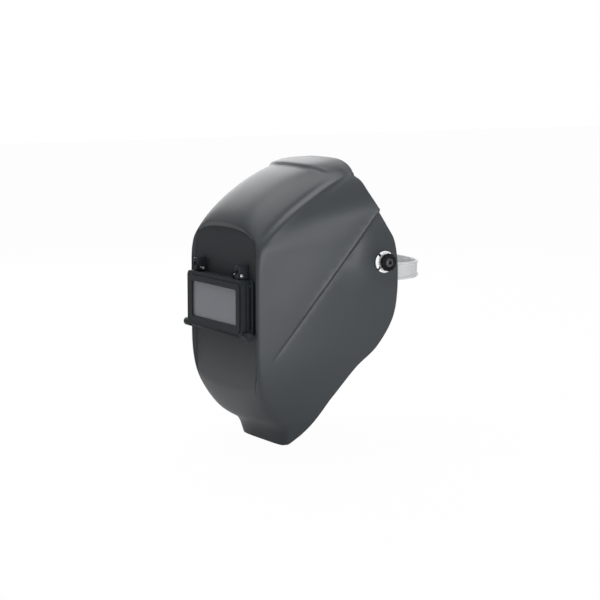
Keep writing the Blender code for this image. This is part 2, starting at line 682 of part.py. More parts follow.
def half_ring(semi_x, semi_y, centre_y, end_y, forward, steps):
    """Straight sides joined by half an ellipse, with outward directions."""
    path = [((semi_x, end_y, BAND_Z), (1, 0, 0))]
    sign = -1 if forward else 1
    for i in range(steps + 1):
        a = math.pi * i / steps
        point = (semi_x * math.cos(a), centre_y + sign * semi_y * math.sin(a), BAND_Z)
        out = Vector((math.cos(a) / semi_x, sign * math.sin(a) / semi_y, 0)).normalized()
        path.append((point, tuple(out)))
    path.append(((-semi_x, end_y, BAND_Z), (-1, 0, 0)))
    return path


# Brow band, nape band and their lock pegs
brow_path = half_ring(BAND_X - BAND_T, BROW_DEPTH - BAND_T, BROW_Y, BROW_END_Y, True, 28)
brow = loft("brow_band", strip(brow_path, 2, -BAND_H / 2, BAND_H / 2, BAND_T), BAND)
nape_in = BAND_X + GAP
nape_path = half_ring(nape_in, NAPE_DEPTH - BAND_T, NAPE_Y, NAPE_START_Y, False, 28)
nape = loft("nape_band", strip(nape_path, 2, -BAND_H / 2, BAND_H / 2, BAND_T), BAND)
for side, sx in (("left", 1), ("right", -1)):
    out = sx * (nape_in + BAND_T + GAP)
    turned("nape_peg_" + side,
           [(0, sx * (nape_in + 0.2)), (PEG_PIN_R, sx * (nape_in + 0.2)), (PEG_PIN_R, out), (PEG_R, out),
            (PEG_R, out + sx * (PEG_H - 0.8)), (PEG_R - 0.8, out + sx * PEG_H), (0, out + sx * PEG_H)],
           "X", (PEG_Y, BAND_Z), BAND)
    hole = rod("cut_peg_" + side, PEG_PIN_R + GAP, sx * (nape_in - 9), sx * (nape_in + 9), "X",
               (PEG_Y, BAND_Z), BAND)
    cut(nape, hole)

# Crown strap in two halves over the head, joined by a peg
strap_in = BAND_X - BAND_T - GAP - BAND_T
straps = {}
for side, sx, lift in (("left", 1, 0.0), ("right", -1, BAND_T + 2 * GAP)):
    path = [((sx * strap_in, 0, BAND_Z - BAND_H / 2), (sx, 0, 0)),
            ((sx * strap_in, 0, STRAP_SPRING_Z - 6), (sx, 0, 0))]
    for i in range(17):
        a = math.radians(6.5 * i)
        k = lift * smoothstep((math.degrees(a) - 25) / 30)
        arc_rise = (STRAP_APEX - STRAP_SPRING_Z + k) * math.sin(a)
        point = (sx * strap_in * math.cos(a), 0, STRAP_SPRING_Z + arc_rise)
        out = Vector((sx * math.cos(a) / strap_in, 0, math.sin(a) / STRAP_APEX)).normalized()
        path.append((point, tuple(out)))
    straps[side] = loft("crown_strap_" + side, strip(path, 1, -STRAP_W / 2, STRAP_W / 2, BAND_T), BAND)
peg_low = STRAP_APEX - GAP
peg_top = STRAP_APEX + 2 * BAND_T + 3 * GAP
rings = []
for z, r in ((peg_low - 1.4, 3.6), (peg_low, 3.6), (peg_low, 1.6),
             (peg_top, 1.6), (peg_top, 3.2), (peg_top + 1.0, 3.2)):
    rings.append([(r * math.cos(math.pi * i / 10), r * math.sin(math.pi * i / 10), z) for i in range(20)])
loft("crown_peg", rings, KNOB_BLACK)
hole_rings = [[(1.9 * math.cos(math.pi * i / 10), 1.9 * math.sin(math.pi * i / 10), z) for i in range(20)]
              for z in (STRAP_APEX - 9, STRAP_APEX + 14)]
peg_hole = loft("cut_crown", hole_rings, KNOB_BLACK)
for side, sx in (("left", 1), ("right", -1)):
    cut(straps[side], peg_hole)
    hole = bpy.data.objects["cut_band_rivet_" + side]
    cut(straps[side], hole)
    cut(brow, hole)
    inside = sx * (strap_in - GAP)
    outside = sx * (BAND_X + 2 * GAP + ARM_T)
    turned("strap_rivet_" + side,
           [(0, inside - sx * 1.2), (3.0, inside - sx * 1.2), (3.0, inside), (2.0, inside), (2.0, outside),
            (3.0, outside), (3.0, outside + sx * 1.2), (0, outside + sx * 1.2)], "X", (0, RIVET_Z), STEEL)

# Soft sweatband inside the brow
rings = []
for i in range(25):
    a = math.radians(-62 + 124 * i / 24)
    end = 0.55 if i in (0, 24) else 1.0
    semi_x, semi_y = BAND_X - BAND_T - GAP, BROW_DEPTH - BAND_T - GAP
    base = Vector((semi_x * math.sin(a), BROW_Y - semi_y * math.cos(a), BAND_Z))
    inward = Vector((-math.sin(a) / semi_x, math.cos(a) / semi_y, 0)).normalized()
    ring = []
    for d, h in ((0, -0.42), (0, 0.42), (0.35, 0.5), (0.75, 0.42),
                 (1.0, 0.2), (1.0, -0.2), (0.75, -0.42), (0.35, -0.5)):
        p = base + inward * (d * SWEAT_T * end)
        ring.append((p.x, p.y, p.z + h * SWEAT_H * end))
    rings.append(ring)
loft("sweatband", rings, FOAM, True)
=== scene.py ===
"""Dressed welding helmet: shell, lens holder, pivots, headgear and studio."""
import math

import bpy
import numpy as np
from bpy.props import FloatProperty, FloatVectorProperty, IntProperty, PointerProperty
from mathutils import Matrix, Vector


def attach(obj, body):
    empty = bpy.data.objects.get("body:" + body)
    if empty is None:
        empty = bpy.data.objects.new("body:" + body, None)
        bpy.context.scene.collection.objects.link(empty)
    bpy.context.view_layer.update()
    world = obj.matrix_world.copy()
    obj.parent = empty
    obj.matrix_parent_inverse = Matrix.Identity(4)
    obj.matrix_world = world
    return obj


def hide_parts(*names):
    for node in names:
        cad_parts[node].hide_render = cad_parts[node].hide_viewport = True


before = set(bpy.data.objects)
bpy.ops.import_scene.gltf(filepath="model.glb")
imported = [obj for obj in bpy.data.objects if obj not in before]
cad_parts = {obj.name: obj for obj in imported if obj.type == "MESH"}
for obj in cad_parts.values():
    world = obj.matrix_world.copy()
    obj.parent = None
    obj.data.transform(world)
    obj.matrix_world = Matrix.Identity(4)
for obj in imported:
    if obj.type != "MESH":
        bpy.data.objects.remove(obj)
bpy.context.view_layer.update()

bl_info = {
    "name": "Welding helmet",
    "version": (1, 0, 0),
    "blender": (4, 5, 0),
    "location": "View3D > Sidebar > Helmet",
    "description": "Models and finishes a lift-front welding helmet on its packed frame",
    "category": "Object",
}

MM = 0.001
SIDES = (("left", 1), ("right", -1))

# All sizes below are in millimetres, apart from the station numbers and the studio.
# Shell stations from the chin lip up to the crown's rear edge:
# front y z, corner x y z, rear edge x y z, rounding on front and side, bulge
STATIONS = (
    (-96, -209.5, 46, -95, -209.5, 57, -79.5, -198.5, 20, 6, 0),
    (-105, -191.5, 55, -101, -189.5, 67, -66.5, -177, 22, 12, 1),
    (-128, -175, 67, -121, -172, 78.5, -49.5, -151, 20, 16, 2),
    (-143, -144, 73.5, -139, -143, 89.5, -26.5, -119, 14, 12, 4),
    (-147.5, -110, 76, -145.5, -110, 97.5, -3, -95, 8, 9, 5),
    (-147.5, -60, 76, -146.5, -60, 102, 16, -60, 7, 8, 6),
    (-147.5, -15, 76, -146.5, -20, 104, 19.5, -15, 7, 8, 6),
    (-147.5, 20, 76, -145.5, 8, 104, 15.5, 20, 9, 9, 6),
    (-144.5, 46.5, 76, -139.5, 23.5, 103.5, 4.5, 40, 20, 10, 6),
    (-120.5, 71, 76, -113.5, 49, 102.5, -8.5, 60, 22, 11, 5),
    (-83.5, 94, 76, -75.5, 74.5, 95, -17, 78, 22, 10, 3),
    (-45, 107, 74.5, -39, 95, 86, -19.5, 89, 22, 8, 1),
    (-13, 109, 66, -17, 100, 74, -21, 95.5, 20, 5, 0),
)
ARCH = 0.6
CENTRE_FULL = 0.45
FLAT_STATION = 5.0
SHELL_COLUMNS = 60

# Front panel: its top by station number, the step round it, the groove along its edge,
# and the heights between which it turns more matte and takes painted shade towards its top
PANEL_Y = -143.0
PANEL_STEP = 2.5
PANEL_TOP, PANEL_TOP_EDGE = 7.66, 7.86
PANEL_GROOVE = 1.2
PANEL_FADE = (-135.0, -40.0)
PANEL_PAINTED_SHADE, PANEL_MATTE = 0.8, 1.9

# Crown band, by station number
CROWN_V, CROWN_BACK, CROWN_EDGE, CROWN_SOFT = 10.56, 0.14, 0.12, 0.8
ROW_STOPS = (0, 1, 2, 3.5, PANEL_TOP, PANEL_TOP_EDGE, 8.2, 9, CROWN_V, CROWN_V + CROWN_EDGE, 11.4, 12)

# Side crease: its two ends as y and z, the cuts across it, and its groove and ridge
# as height, place and width across the line
CREASE_TOP = (-5.0, 59.0)
CREASE_LOW = (-129.0, -103.0)
CREASE_RUN = (CREASE_LOW[0] - CREASE_TOP[0], CREASE_LOW[1] - CREASE_TOP[1])
CREASE_CUTS = (-5.0, -3.9, -3.0, -2.2, -1.4, -0.7, 0.0, 0.7, 1.4, 2.1, 2.9)
CREASE_NEAR = 12.0
CREASE_GROOVE = (0.6, 1.4, 1.5)
CREASE_RIDGE = (0.7, -2.4, 1.5)
SIDE_X, SIDE_BLEND = 72.0, 10.0

# Chin lip's rear corner: rise of the corner, fullness below it and behind it
LIP_RISE, LIP_BELOW, LIP_BEHIND = 1.6, 1.2, 2.4

# Lens holder; a block is its width, height and corner radius
WIN_Z = -47.0
SHELL_WINDOW = (104.0, 44.5, 4.0)
LIFT_BLOCK, LIFT_FRONT, LIFT_BACK = (124.0, 62.5, 6.0), -159.0, -147.9
RABBET_BLOCK, RABBET_Y = (132.0, 72.0, 4.0), -158.0
BEZEL_BLOCK = (115.0, 54.0, 4.0)
WINDOW_BLOCK = (100.0, 40.5, 3.0)
POCKET_BLOCK, POCKET_Y = (108.6, 51.6, 1.5), -157.2
FIXED_BLOCK, FIXED_FRONT, FIXED_BACK = (130.0, 61.5, 4.0), -147.5, -143.3
FIXED_POCKET_Y = -144.2
CUT_FRONT, LIFT_CUT_BACK, FIXED_CUT_BACK = -170.0, -140.0, -130.0
# Inner and outer x, front and back y, half-height
SIDE_GROOVE = (60.6, 66.0, -154.0, -152.3, 27.5)
# Half-length, front and back y, low and high edge from the window's middle
TOP_GROOVE = (39.0, -162.0, -158.2, 27.4, 28.8)
LOW_LEDGE = (52.0, -158.5, -152.0, -32.4, -29.6)
EAR_R, EAR_IN, EAR_OUT, EAR_Y, EAR_DROP = 4.6, 59.0, 73.0, -153.5, 29.75
RIVET_X, RIVET_RISE, RIVET_R, RIVET_HEAD_R, RIVET_SEAT_Y = 59.6, 25.15, 1.9, 3.1, -145.4

# Hinges
HINGE_X, HINGE_Y, HINGE_Z = 47.5, -152.7, -11.5
HINGE_BORE_R = 1.6
KNUCKLE_R, KNUCKLE_HALF = 3.6, 2.0
STEM_HALF, STEM_DEEP, STEM_RISE = 1.95, 3.58, 28.0
LUG_HALF, LUG_TOP, LUG_NOSE_R, LUG_SKIN = 4.5, 11.3, 3.9, 0.02
CHEEK_FRONT, CHEEK_BACK, CHEEK_TOP = 3.3, 5.0, 10.7
SLOT_HALF, SLOT_BACK, SLOT_TOP = 2.3, 4.1, 6.0
PIN_R, PIN_HEAD_R, PIN_IN, PIN_SEAT, PIN_OUT = 1.5, 1.9, 34.0, 52.3, 53.5

# Pivots
PIVOT_X, PIVOT_FLAT_R, PIVOT_BLEND, PIVOT_HOLE_R = 104.0, 27.0, 19.0, 7.3
BUSH_R, BUSH_IN, BUSH_OUT = 12.2, 105.4, 107.2
BARREL_R, BARREL_IN, BARREL_OUT = 7.0, 101.2, 106.0
SLIT_COUNT, SLIT_TURN, SLIT_HALF, SLIT_START, SLIT_FLOOR = 4, 42, 1.4, 7.8, -0.9
STUD_BORE_R = 3.3
# Distance out, radius and share of the flutes, from the hub to the boss
KNOB_PROFILE = (
    (107.6, 6.8, 0), (107.9, 7.0, 0), (111.0, 7.1, 0), (111.3, 8.8, 0.6), (111.8, 9.6, 1),
    (112.5, 9.8, 1), (114.8, 9.8, 1), (115.7, 9.5, 1), (116.2, 8.8, 0.8), (116.2, 6.4, 0.1),
    (116.0, 5.9, 0), (115.4, 5.7, 0), (115.4, 5.3, 0), (115.8, 5.1, 0), (116.7, 4.5, 0),
    (117.3, 3.7, 0), (117.5, 3.1, 0), (117.4, 2.3, 0), (116.6, 2.0, 0), (116.5, 0.4, 0),
)
KNOB_POINTS, KNOB_LOBES, KNOB_LOBE, KNOB_ROUND = 144, 12, 0.3, 0.8
# Ring on the knob's boss face that is coloured lighter as a painted highlight: where it starts outwards,
# inner and outer radius
BOSS_OUT, BOSS_IN_R, BOSS_OUT_R = 115.5, 2.0, 5.2

# Headgear; a ring is its half-width, depth, centre y and end y
BAND_Z, BAND_T, BAND_STEPS = -16.0, 2.0, 64
BROW_RING, BROW_HALF = (75.0, 88.0, -4.0, 40.0), 9.0
NAPE_RING, NAPE_HALF, NAPE_TAPER = (77.3, 46.0, 46.0, 17.5), 10.0, 2.0
STRAP_RIVET_R, STRAP_RIVET_Z = 2.3, -21.5
PEG_HOLE_R, PEG_Y = 1.9, 24.0
# Beaded band section: share of the thickness, share of the half-height
BAND_SECTION = (
    (0.0, -0.93), (0.15, -0.985), (0.6, -1.0), (1.3, -0.98), (1.65, -0.88), (1.5, -0.75), (1.0, -0.68),
    (1.0, 0.0), (1.0, 0.66), (1.5, 0.72), (1.75, 0.84), (1.5, 0.95), (0.9, 1.0), (0.15, 0.985),
    (0.0, 0.93), (0.0, 0.0),
)
SWEAT_T, SWEAT_H, SWEAT_GAP, SWEAT_SPAN = 5.9, 25.6, 0.3, 124
SWEAT_STEPS, SWEAT_POINTS, SWEAT_TUFT = 72, 24, 6

# Camera: direction in degrees, lens and sensor, pixels a millimetre and the origin's pixel
AZIMUTH, ELEVATION = 58.0, 8.0
LENS, SENSOR, IMAGE = 110.0, 36.0, 600
PIXELS_PER_MM, ORIGIN_AT = 0.862, (332.6, 252.6)


class HelmetShape(bpy.types.PropertyGroup):
    """Sizes of the dressed helmet."""
    wall: FloatProperty(name="Wall", description="Shell wall thickness", default=0.0028, unit="LENGTH")
    panel_half: FloatProperty(name="Panel half-width", description="Half-width of the front panel",
                              default=0.07, unit="LENGTH")
    crown_step: FloatProperty(name="Crown step", description="Rise of the crown band",
                              default=0.0032, unit="LENGTH")
    crease_rise: FloatProperty(name="Crease rise", description="Rise of the upper side at the rear edge",
                               default=0.005, unit="LENGTH")
    flute_depth: FloatProperty(name="Flute depth", description="Depth of the flute beside the top",
                               default=0.0008, unit="LENGTH")
    rows: IntProperty(name="Shell rows", description="Rows from chin to crown", default=132)


class HelmetFinish(bpy.types.PropertyGroup):
    """Colours of the dressed helmet."""
    shell: FloatVectorProperty(name="Shell", description="Moulded shell colour", subtype="COLOR", size=3,
                               default=(0.037, 0.043, 0.048), min=0, max=1)
    holder: FloatVectorProperty(name="Lens holder", description="Lens holder colour", subtype="COLOR", size=3,
                                default=(0.014, 0.0182, 0.0225), min=0, max=1)
    knob: FloatVectorProperty(name="Knob", description="Knob colour", subtype="COLOR", size=3,
                              default=(0.004, 0.004, 0.005), min=0, max=1)
    bush: FloatVectorProperty(name="Bush", description="Pivot bush colour", subtype="COLOR", size=3,
                              default=(0.95, 0.97, 0.98), min=0, max=1)
    band: FloatVectorProperty(name="Band", description="Headgear band colour", subtype="COLOR", size=3,
                              default=(0.72, 0.74, 0.74), min=0, max=1)


def shape():
    return bpy.context.scene.helmet_shape


def finish_colours():
    return bpy.context.scene.helmet_finish


# Selection and modelling helpers
def clear_selection():
    if bpy.context.object and bpy.context.object.mode != "OBJECT":
        bpy.ops.object.mode_set(mode="OBJECT")
    bpy.ops.object.select_all(action="DESELECT")


def added(name):
    obj = bpy.context.object
    obj.name = name
    obj.data.name = name
    return obj


def activate(obj):
    clear_selection()
    obj.select_set(True)
    bpy.context.view_layer.objects.active = obj


def settle(obj):
    """Put the object's place into its mesh."""
    activate(obj)
    bpy.ops.object.transform_apply(location=True, rotation=True, scale=True)


def apply_all(obj):
    activate(obj)
    for mod in list(obj.modifiers):
        bpy.ops.object.modifier_apply(modifier=mod.name)


def add_cube(name, low, high):
    clear_selection()
    mid = [(a + b) / 2 * MM for a, b in zip(low, high)]
    bpy.ops.mesh.primitive_cube_add(size=1, location=mid)
    obj = added(name)
    obj.scale = [(b - a) * MM for a, b in zip(low, high)]
    settle(obj)
    return obj


def add_rod(name, radius, start, end, first, z, verts=48, axis="X"):
    """A rod along x at y = first, or along y at x = first."""
    clear_selection()
    turn = (0, math.pi / 2, 0) if axis == "X" else (math.pi / 2, 0, 0)
    mid = ((start + end) / 2, first, z) if axis == "X" else (first, (start + end) / 2, z)
    bpy.ops.mesh.primitive_cylinder_add(vertices=verts, radius=radius * MM, depth=abs(end - start) * MM,
                                        location=[c * MM for c in mid], rotation=turn)
    obj = added(name)
    settle(obj)
    return obj


def round_edges(obj, width, segments=3, angle=35):
    mod = obj.modifiers.new("round", "BEVEL")
    mod.width = width * MM
    mod.segments = segments
    mod.limit_method = "ANGLE"
    mod.angle_limit = math.radians(angle)
    mod.harden_normals = False
    apply_all(obj)


def carve(obj, tool, operation="DIFFERENCE"):
    """Cut or join a helper solid, then drop the helper."""
    mod = obj.modifiers.new("carve", "BOOLEAN")
    mod.operation = operation
    mod.solver = "EXACT"
    mod.object = tool
    apply_all(obj)
    mesh = tool.data
    bpy.data.objects.remove(tool, do_unlink=True)
    bpy.data.meshes.remove(mesh)


def soften(obj, angle=38):
    activate(obj)
    bpy.ops.object.shade_smooth_by_angle(angle=math.radians(angle))


def upright_corners(obj, radius, segments=5):
    """Round the four edges that run front to back."""
    activate(obj)
    bpy.ops.object.mode_set(mode="EDIT")
    bpy.ops.mesh.select_mode(type="EDGE")
    bpy.ops.mesh.select_all(action="DESELECT")
    bpy.ops.object.mode_set(mode="OBJECT")
    mesh = obj.data
    for edge in mesh.edges:
        a, b = (mesh.vertices[i].co for i in edge.vertices)
        run = (b - a).normalized()
        edge.select = abs(run.y) > 0.99
    bpy.ops.object.mode_set(mode="EDIT")
    bpy.ops.mesh.bevel(offset=radius * MM, segments=segments)
    bpy.ops.object.mode_set(mode="OBJECT")


def framed_block(name, block, front, back):
    """A block round the window's middle, given as width, height and corner radius."""
    width, height, radius = block
    obj = add_cube(name, (-width / 2, front, WIN_Z - height / 2), (width / 2, back, WIN_Z + height / 2))
    upright_corners(obj, radius)
    return obj


def cross_bar(name, half, front, back, low, high):
    return add_cube(name, (-half, front, WIN_Z + low), (half, back, WIN_Z + high))


def lofted(name, rings):
    """A closed skin through rings of equal count, grown from a filled circle."""
    clear_selection()
    count = len(rings[0])
    bpy.ops.mesh.primitive_circle_add(vertices=count, radius=1, fill_type="NGON")
    obj = added(name)
    bpy.ops.object.mode_set(mode="EDIT")
    for _ in rings[1:]:
        bpy.ops.mesh.extrude_region_move(TRANSFORM_OT_translate={"value": (0, 0, 1)})
    bpy.ops.object.mode_set(mode="OBJECT")
    for vert in obj.data.vertices:
        turn = math.atan2(vert.co.y, vert.co.x) / (2 * math.pi) % 1
        point = rings[int(round(vert.co.z))][int(round(turn * count)) % count]
        vert.co = [c * MM for c in point]
    activate(obj)
    bpy.ops.object.mode_set(mode="EDIT")
    bpy.ops.mesh.select_all(action="SELECT")
    bpy.ops.mesh.normals_make_consistent(inside=False)
    bpy.ops.object.mode_set(mode="OBJECT")
    return obj


def dress(piece, mat):
    piece.data.materials.clear()
    piece.data.materials.append(mat)


def place(piece, body, node, mat):
    dress(piece, mat)
    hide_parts(node)
    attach(piece, body)


# Material helpers
def maths(tree, operation, *values):
    """A Math node fed by sockets or plain numbers; gives its output."""
    node = tree.nodes.new("ShaderNodeMath")
    node.operation = operation
    for socket, value in zip(node.inputs, values):
        if isinstance(value, bpy.types.NodeSocket):
            tree.links.new(value, socket)
        else:
            socket.default_value = value
    return node.outputs[0]


def fade(tree, value, start, stop, low, high):
    """A Map Range node; gives its output."""
    node = tree.nodes.new("ShaderNodeMapRange")
    for label, number in (("From Min", start), ("From Max", stop), ("To Min", low), ("To Max", high)):
        node.inputs[label].default_value = number
    tree.links.new(value, node.inputs["Value"])
    return node.outputs[0]


def tinted(tree, colour, factor):
    """A colour multiplied by a factor; gives its output."""
    node = tree.nodes.new("ShaderNodeMix")
    node.data_type = "RGBA"
    node.blend_type = "MULTIPLY"
    node.inputs["Factor"].default_value = 1.0
    tree.links.new(colour, node.inputs["A"])
    tree.links.new(factor, node.inputs["B"])
    return node.outputs["Result"]


def noise(tree, coord, detail):
    node = tree.nodes.new("ShaderNodeTexNoise")
    node.inputs["Detail"].default_value = detail
    tree.links.new(coord, node.inputs["Vector"])
    return node


def new_group(name, inputs, outputs):
    group = bpy.data.node_groups.new(name, "ShaderNodeTree")
    for label, kind, value in inputs:
        socket = group.interface.new_socket(name=label, in_out="INPUT", socket_type=kind)
        socket.default_value = value
    for label, kind in outputs:
        group.interface.new_socket(name=label, in_out="OUTPUT", socket_type=kind)
    return group, group.nodes.new("NodeGroupInput").outputs, group.nodes.new("NodeGroupOutput").inputs


def moulded_grain():
    """Fine moulded texture, soft patches and rubbed colour for plastic pieces."""
    if "moulded_grain" in bpy.data.node_groups:
        return bpy.data.node_groups["moulded_grain"]
    group, given, out = new_group(
        "moulded_grain",
        [("Colour", "NodeSocketColor", (0.05, 0.05, 0.05, 1)), ("Grain size", "NodeSocketFloat", 1800.0),
         ("Patch", "NodeSocketFloat", 0.12), ("Roughness", "NodeSocketFloat", 0.45)],
        [("Colour", "NodeSocketColor"), ("Roughness", "NodeSocketFloat"), ("Height", "NodeSocketFloat")])
    coord = group.nodes.new("ShaderNodeTexCoord").outputs["Object"]
    fine = noise(group, coord, 3)
    group.links.new(given["Grain size"], fine.inputs["Scale"])
    patch = noise(group, coord, 4)
    patch.inputs["Scale"].default_value = 14
    centred = maths(group, "SUBTRACT", patch.outputs["Fac"], 0.5)
    amount = maths(group, "MULTIPLY_ADD", centred, given["Patch"], 1.0)
    group.links.new(tinted(group, given["Colour"], amount), out["Colour"])
    group.links.new(maths(group, "MULTIPLY", amount, given["Roughness"]), out["Roughness"])
    group.links.new(fine.outputs["Fac"], out["Height"])
    return group


def moulded(name, colour, rough, grain=1800.0, bump=0.06, patch=0.12, spec=0.5):
    mat = bpy.data.materials.new(name)
    mat.use_nodes = True
    nodes, links = mat.node_tree.nodes, mat.node_tree.links
    shader = nodes["Principled BSDF"]
    group = nodes.new("ShaderNodeGroup")
    group.node_tree = moulded_grain()
    group.inputs["Colour"].default_value = (*colour, 1)
    group.inputs["Grain size"].default_value = grain
    group.inputs["Patch"].default_value = patch
    group.inputs["Roughness"].default_value = rough
    relief = nodes.new("ShaderNodeBump")
    relief.inputs["Strength"].default_value = bump
    relief.inputs["Distance"].default_value = 0.0002
    links.new(group.outputs["Height"], relief.inputs["Height"])
    links.new(group.outputs["Colour"], shader.inputs["Base Color"])
    links.new(group.outputs["Roughness"], shader.inputs["Roughness"])
    links.new(relief.outputs["Normal"], shader.inputs["Normal"])
    shader.inputs["Specular IOR Level"].default_value = spec
    return mat


def metal(name, colour, rough, metallic=1.0):
    mat = moulded(name, colour, rough, 2600.0, 0.05, 0.2)
    mat.node_tree.nodes["Principled BSDF"].inputs["Metallic"].default_value = metallic
    return mat


def glass(name, colour, transmission, rough, coat=0.0):
    mat = moulded(name, colour, rough, 400.0, 0.004, 0.05)
    shader = mat.node_tree.nodes["Principled BSDF"]
    shader.inputs["Transmission Weight"].default_value = transmission
    shader.inputs["IOR"].default_value = 1.5
    shader.inputs["Coat Weight"].default_value = coat
    return mat


def shell_plastic(name):
    return moulded(name, finish_colours().shell, 0.45, 1500.0, 0.05, 0.10, 0.38)


def painted_shade_panel_plastic(name):
    """Shell plastic that takes painted shade up the front panel, standing in for the shade under the brow,
    and turns more matte there.
    """
    mat = shell_plastic(name)
    tree = mat.node_tree
    split = tree.nodes.new("ShaderNodeSeparateXYZ")
    tree.links.new(tree.nodes.new("ShaderNodeTexCoord").outputs["Object"], split.inputs[0])
    height = split.outputs["Z"]
    inputs = tree.nodes["Principled BSDF"].inputs
    colour, rough = (inputs[key].links[0].from_socket for key in ("Base Color", "Roughness"))
    start, stop = (z * MM for z in PANEL_FADE)
    # Painted shade: the colour is multiplied down towards the panel's top, standing in for the shade under
    # the brow.
    painted_shade = fade(tree, height, start, stop, 1.0, PANEL_PAINTED_SHADE)
    duller = fade(tree, height, start, stop, 1.0, PANEL_MATTE)
    tree.links.new(tinted(tree, colour, painted_shade), inputs["Base Color"])
    tree.links.new(maths(tree, "MULTIPLY", rough, duller), inputs["Roughness"])
    return mat


# Shell surface: v counts stations up from the chin lip, u runs from the centre line to the rear edge
def smoothstep(t):
    t = np.clip(t, 0.0, 1.0)
    return t * t * (3 - 2 * t)


def hump(t, middle, width):
    return np.exp(-((t - middle) / width) ** 2)


def stretch(t, start, rise, stop, fall):
    """Rises from zero to one after the start, and back to zero after the stop."""
    return smoothstep((t - start) / rise) * (1 - smoothstep((t - stop) / fall))


def station_net():
    net = []
    for fy, fz, kx, ky, kz, ex, ey, ez, rf, rs, bulge in STATIONS:
        corner = np.array((kx, ky, kz), float)
        edge = np.array((ex, ey, ez), float)
        side = edge - corner
        length = np.linalg.norm(side)
        t = (kx - rf) / kx
        drop = ARCH * t * t
        net.append((
            np.array((0.0, fy, fz)),
            np.array((kx * CENTRE_FULL, fy, fz)),
            np.array((kx - rf, fy + (ky - fy) * drop, fz + (kz - fz) * drop)),
            corner,
            corner + side * (rs / length) + np.array((bulge * rs / length, 0, 0)),
            corner + side * 0.5 + np.array((bulge, 0, 0)),
            edge,
        ))
    return np.array(net)


def along(net, v):
    """Smooth curve through the stations, at station number v."""
    i = min(int(v), len(net) - 2)
    t = v - i
    p1, p2 = net[i], net[i + 1]
    p0 = net[i - 1] if i else 2 * p1 - p2
    p3 = net[i + 2] if i + 2 < len(net) else 2 * p2 - p1
    return 0.5 * (2 * p1 + (p2 - p0) * t + (2 * p0 - 5 * p1 + 4 * p2 - p3) * t * t
                  + (3 * p1 - p0 - 3 * p2 + p3) * t ** 3)


def across(row, u):
    """Cubic B-spline from the centre line to the rear edge."""
    knots = (0, 0, 0, 0, 0.25, 0.5, 0.75, 1, 1, 1, 1)
    u = min(u, 1 - 1e-9)
    k = max(i for i in range(3, 7) if knots[i] <= u)
    d = [row[j] for j in range(k - 3, k + 1)]
    for r in range(1, 4):
        for j in range(3, r - 1, -1):
            i = j + k - 3
            a = (u - knots[i]) / (knots[i + 4 - r] - knots[i])
            d[j] = (1 - a) * d[j - 1] + a * d[j]
    return d[3]


def solve_u(net, x):
    """Where the flat part of the front reaches x."""
    low, high = 0.0, 0.7
    for _ in range(40):
        mid = (low + high) / 2
        if across(along(net, FLAT_STATION), mid)[0] < x:
            low = mid
        else:
            high = mid
    return low


def spread(stops, total):
    """Even steps between the stops, at least three in each gap."""
    span = stops[-1] - stops[0]
    out = []
    for a, b in zip(stops, stops[1:]):
        count = max(3, round(total * (b - a) / span))
        out += [a + (b - a) * i / count for i in range(count)]
    return out + [stops[-1]]


def crown_shape(u, v):
    """How far the rows run back beside the crown step, and how much of the step has risen."""
    back = CROWN_BACK * smoothstep((u - 0.05) / 0.25) * stretch(v, 9.6, 1.0, 10.8, 1.2)
    edge = CROWN_EDGE + CROWN_SOFT * smoothstep((u - 0.28) / 0.25)
    return back, (1 - smoothstep((u - 0.3) / 0.4)) * smoothstep((v - CROWN_V) / edge)


def shell_grid():
    props = shape()
    half = props.panel_half / MM
    step = props.crown_step / MM
    flute = props.flute_depth / MM
    net = station_net()
    ua, ub = solve_u(net, half), solve_u(net, half + PANEL_STEP)
    cols = spread([0, ua - 0.035, ua, ub, ub + 0.12, 1], SHELL_COLUMNS)
    out = []
    for v in spread(ROW_STOPS, props.rows):
        row = []
        for u in cols:
            back, rise = crown_shape(u, v)
            x, y, z = across(along(net, v + back), u)
            below = 1 - smoothstep((v - PANEL_TOP) / (PANEL_TOP_EDGE - PANEL_TOP))
            y += (max(y, PANEL_Y) - y) * (1 - smoothstep((u - ua) / (ub - ua))) * below
            y += PANEL_GROOVE * hump(u, ua - 0.012, 0.01) * stretch(v, 2.6, 1.0, 7.5, 0.2)
            y, z = y - 0.3 * step * rise, z + 0.95 * step * rise
            groove = hump(u, ub + 0.08, 0.048) * stretch(v, 7.9, 0.5, 9.9, 0.9)
            lip = hump(u, ub + 0.2, 0.07) * stretch(v, 8.0, 0.6, 10.2, 0.9)
            sink = flute * (groove - 1.2 * lip)
            x, z = x - 0.75 * sink, z - 0.6 * sink
            low, aft = max(0.0, 1 - v) ** 2, max(0.0, (u - 0.6) / 0.4)
            z += low * (LIP_RISE * aft ** 4 - LIP_BELOW * math.sin(math.pi * aft))
            y += LIP_BEHIND * math.sin(math.pi * min(1.0, v / 1.8)) * aft ** 2
            row.append((x, y, z))
        out.append(row)
    return np.array(out)


